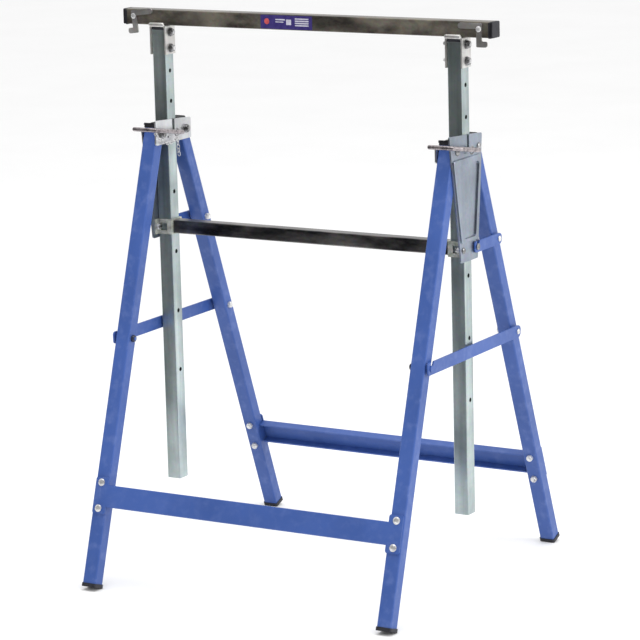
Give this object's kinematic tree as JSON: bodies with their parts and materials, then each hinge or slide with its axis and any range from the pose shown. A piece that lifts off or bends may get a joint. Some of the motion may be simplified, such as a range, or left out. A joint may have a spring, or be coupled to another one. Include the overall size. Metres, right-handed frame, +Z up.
{
  "type": "folding sawhorse",
  "caption": "Folding trestle with blue splayed leg frames, pinned steel masts that raise a square beam, flip-up stop levers and hooked cross braces.",
  "frame": {"origin": "centre of the footprint, at the level the feet stand on", "axes": "+X along the beam to the right, -Y to the front, +Z up"},
  "size_m": [0.676, 0.5932, 0.9128],
  "materials": {
    "zinc_steel": "zinc plated, slightly streaky",
    "blue_coat": "smooth powder coat, semi gloss",
    "black_plastic": "satin moulded plastic",
    "bright_bolts": "bright zinc"
  },
  "bodies": {
    "guide_frame": {"head_plate_outer_left": "zinc_steel", "head_plate_outer_right": "zinc_steel", "head_plate_inner_left": "zinc_steel", "head_plate_inner_right": "zinc_steel", "hinge_bolts": "bright_bolts", "hinge_nuts": "bright_bolts", "guide_crossbar": "zinc_steel", "guide_clamp_left": "zinc_steel", "guide_clamp_right": "zinc_steel", "clamp_bolts": "bright_bolts", "clamp_nuts": "bright_bolts", "stay_studs": "bright_bolts"},
    "mast": {"beam": "zinc_steel", "beam_end_cap_left": "black_plastic", "beam_end_cap_right": "black_plastic", "mast_top_cap_left": "black_plastic", "mast_top_cap_right": "black_plastic", "mast_tube_left": "zinc_steel", "mast_tube_right": "zinc_steel", "saddle_bracket_left": "zinc_steel", "saddle_bracket_right": "zinc_steel", "saddle_bolts": "bright_bolts", "saddle_nuts": "bright_bolts", "lever_rivets": "bright_bolts"},
    "lever_left": {"stop_lever_left": "zinc_steel"},
    "lever_right": {"stop_lever_right": "zinc_steel"},
    "pin_left": {"locking_pin_left": "bright_bolts", "pin_ring_left": "bright_bolts"},
    "pin_right": {"locking_pin_right": "bright_bolts", "pin_ring_right": "bright_bolts"},
    "front_frame": {"front_leg_left": "blue_coat", "front_leg_right": "blue_coat", "front_foot_cap_left": "black_plastic", "front_foot_cap_right": "black_plastic", "front_top_cap_left": "black_plastic", "front_top_cap_right": "black_plastic", "front_crossbar": "blue_coat", "front_crossbar_bolts": "bright_bolts", "front_crossbar_nuts": "bright_bolts", "strap_hook_pins": "bright_bolts", "strap_hook_nuts": "bright_bolts"},
    "rear_frame": {"rear_leg_left": "blue_coat", "rear_leg_right": "blue_coat", "rear_foot_cap_left": "black_plastic", "rear_foot_cap_right": "black_plastic", "rear_top_cap_left": "black_plastic", "rear_top_cap_right": "black_plastic", "rear_crossbar": "blue_coat", "rear_crossbar_bolts": "bright_bolts", "rear_crossbar_nuts": "bright_bolts", "pivot_bolts": "bright_bolts", "pivot_nuts": "bright_bolts", "pivot_spacers": "bright_bolts"},
    "strap_left": {"brace_strap_left": "blue_coat"},
    "strap_right": {"brace_strap_right": "blue_coat"},
    "stay_left": {"stay_link_left": "blue_coat"},
    "stay_right": {"stay_link_right": "blue_coat"}
  },
  "joints": [
    {"name": "mast_lift", "type": "slide", "parent": "guide_frame", "child": "mast", "axis": [0, 0, 1], "range_m": [0, 0.4]},
    {"name": "front_fold", "type": "hinge", "parent": "guide_frame", "child": "front_frame", "pos_m": [0, -0.0566, 0.711], "axis": [1, 0, 0], "range_deg": [0, 17.9]},
    {"name": "rear_fold", "type": "hinge", "parent": "guide_frame", "child": "rear_frame", "pos_m": [0, 0.0154, 0.711], "axis": [1, 0, 0], "range_deg": [-20.91, 0]},
    {"name": "lever_turn_left", "type": "hinge", "parent": "mast", "child": "lever_left", "pos_m": [-0.316, -0.0331, 0.9], "axis": [0, -1, 0], "range_deg": [0, 83]},
    {"name": "pin_pull_left", "type": "slide", "parent": "mast", "child": "pin_left", "axis": [1, 0, 0], "range_m": [0, 0.045]},
    {"name": "strap_swing_left", "type": "hinge", "parent": "rear_frame", "child": "strap_left", "pos_m": [-0.2878, 0.1376, 0.391], "axis": [1, 0, 0], "range_deg": [0, 111]},
    {"name": "stay_swing_left", "type": "hinge", "parent": "rear_frame", "child": "stay_left", "pos_m": [-0.2878, 0.07535, 0.554], "axis": [1, 0, 0], "range_deg": [0, 111]},
    {"name": "lever_turn_right", "type": "hinge", "parent": "mast", "child": "lever_right", "pos_m": [0.316, -0.0331, 0.9], "axis": [0, 1, 0], "range_deg": [0, 90]},
    {"name": "pin_pull_right", "type": "slide", "parent": "mast", "child": "pin_right", "axis": [1, 0, 0], "range_m": [0, 0.045]},
    {"name": "strap_swing_right", "type": "hinge", "parent": "rear_frame", "child": "strap_right", "pos_m": [0.2878, 0.1376, 0.391], "axis": [1, 0, 0], "range_deg": [0, 111]},
    {"name": "stay_swing_right", "type": "hinge", "parent": "rear_frame", "child": "stay_right", "pos_m": [0.2878, 0.07535, 0.554], "axis": [1, 0, 0], "range_deg": [0, 111]}
  ],
  "couplings": [
    {"joint": "rear_fold", "follows": "front_fold", "ratio": -1.1676},
    {"joint": "strap_swing_left", "follows": "front_fold", "ratio": 6.1955},
    {"joint": "stay_swing_left", "follows": "front_fold", "ratio": 6.1955},
    {"joint": "strap_swing_right", "follows": "front_fold", "ratio": 6.1955},
    {"joint": "stay_swing_right", "follows": "front_fold", "ratio": 6.1955}
  ]
}
